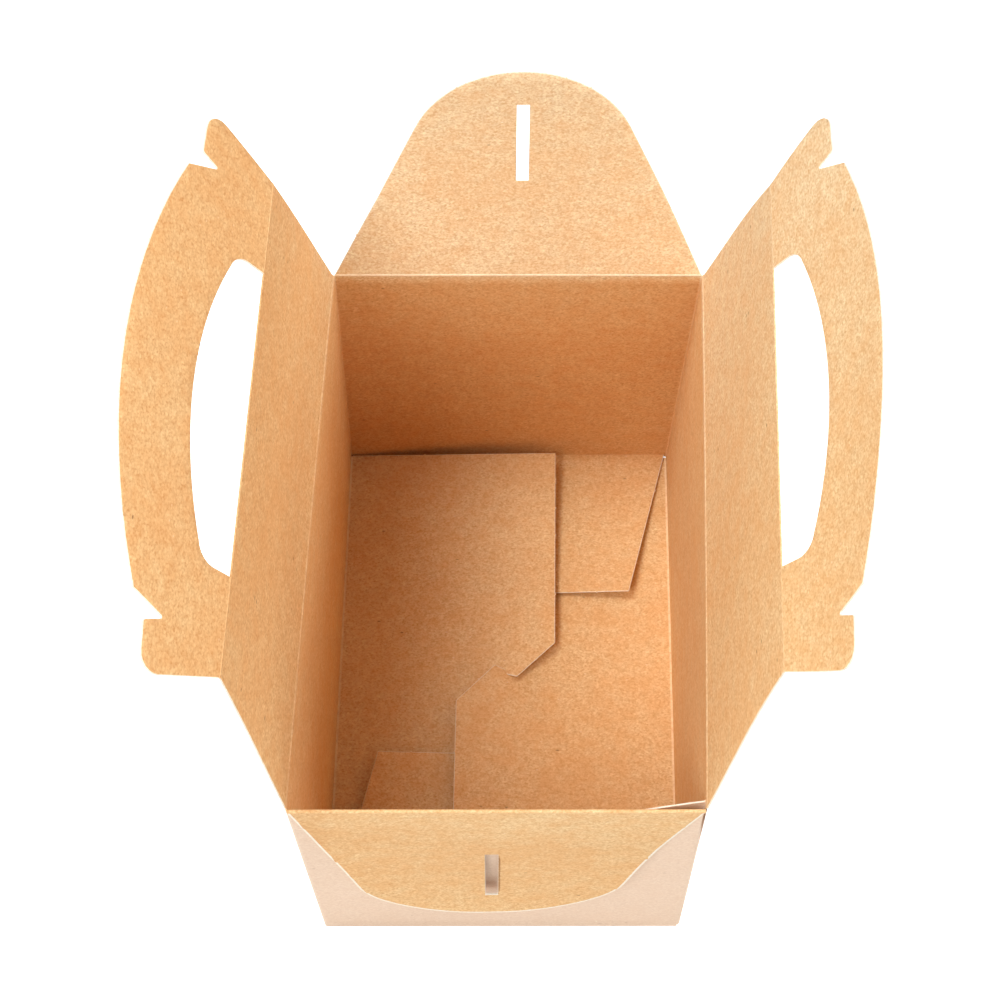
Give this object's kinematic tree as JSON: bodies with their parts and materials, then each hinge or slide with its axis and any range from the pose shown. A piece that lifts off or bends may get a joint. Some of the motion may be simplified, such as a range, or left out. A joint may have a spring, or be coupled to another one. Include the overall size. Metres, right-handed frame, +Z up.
{
  "type": "gable takeaway box",
  "caption": "Open kraft board gable box for takeaway food, with a crash-lock bottom, slotted end flaps, and roof panels that end in carrying handles.",
  "frame": {"origin": "middle of the base, on the surface that the box stands on", "axes": "+Z up, +Y to the back along the length, +X to the right across the width"},
  "size_m": [0.1844, 0.1978, 0.222],
  "materials": {
    "kraft_board": "uncoated brown folding board, matt, paler outside than inside"
  },
  "bodies": {
    "carton_body": {"carton_body": "kraft_board"},
    "front_end_flap": {"front_end_flap": "kraft_board"},
    "back_end_flap": {"back_end_flap": "kraft_board"},
    "left_roof_panel": {"left_roof_panel": "kraft_board"},
    "right_roof_panel": {"right_roof_panel": "kraft_board"},
    "left_handle": {"left_handle": "kraft_board"},
    "right_handle": {"right_handle": "kraft_board"}
  },
  "joints": [
    {"name": "front_end_flap_crease", "type": "hinge", "parent": "carton_body", "child": "front_end_flap", "pos_m": [-0.00345, -0.08585, 0.118], "axis": [-1, 0, 0], "range_deg": [-1.5, 192.59]},
    {"name": "back_end_flap_crease", "type": "hinge", "parent": "carton_body", "child": "back_end_flap", "pos_m": [0.00345, 0.08585, 0.118], "axis": [1, 0, 0], "range_deg": [-161.9, 32.19]},
    {"name": "left_roof_crease", "type": "hinge", "parent": "carton_body", "child": "left_roof_panel", "pos_m": [-0.0571, 0, 0.118], "axis": [0.0402, 0.9992, 0], "range_deg": [-159.5, 67.73]},
    {"name": "left_handle_crease", "type": "hinge", "parent": "left_roof_panel", "child": "left_handle", "pos_m": [-0.06805, 0.00044, 0.18349], "axis": [-0.0402, -0.9992, 0], "range_deg": [-25.6, 32.63]},
    {"name": "right_roof_crease", "type": "hinge", "parent": "carton_body", "child": "right_roof_panel", "pos_m": [0.0571, 0, 0.118], "axis": [-0.0402, -0.9992, 0], "range_deg": [-161, 69.23]},
    {"name": "right_handle_crease", "type": "hinge", "parent": "right_roof_panel", "child": "right_handle", "pos_m": [0.06976, -0.00051, 0.18318], "axis": [0.0402, 0.9992, 0], "range_deg": [-17.5, 40.73]}
  ]
}
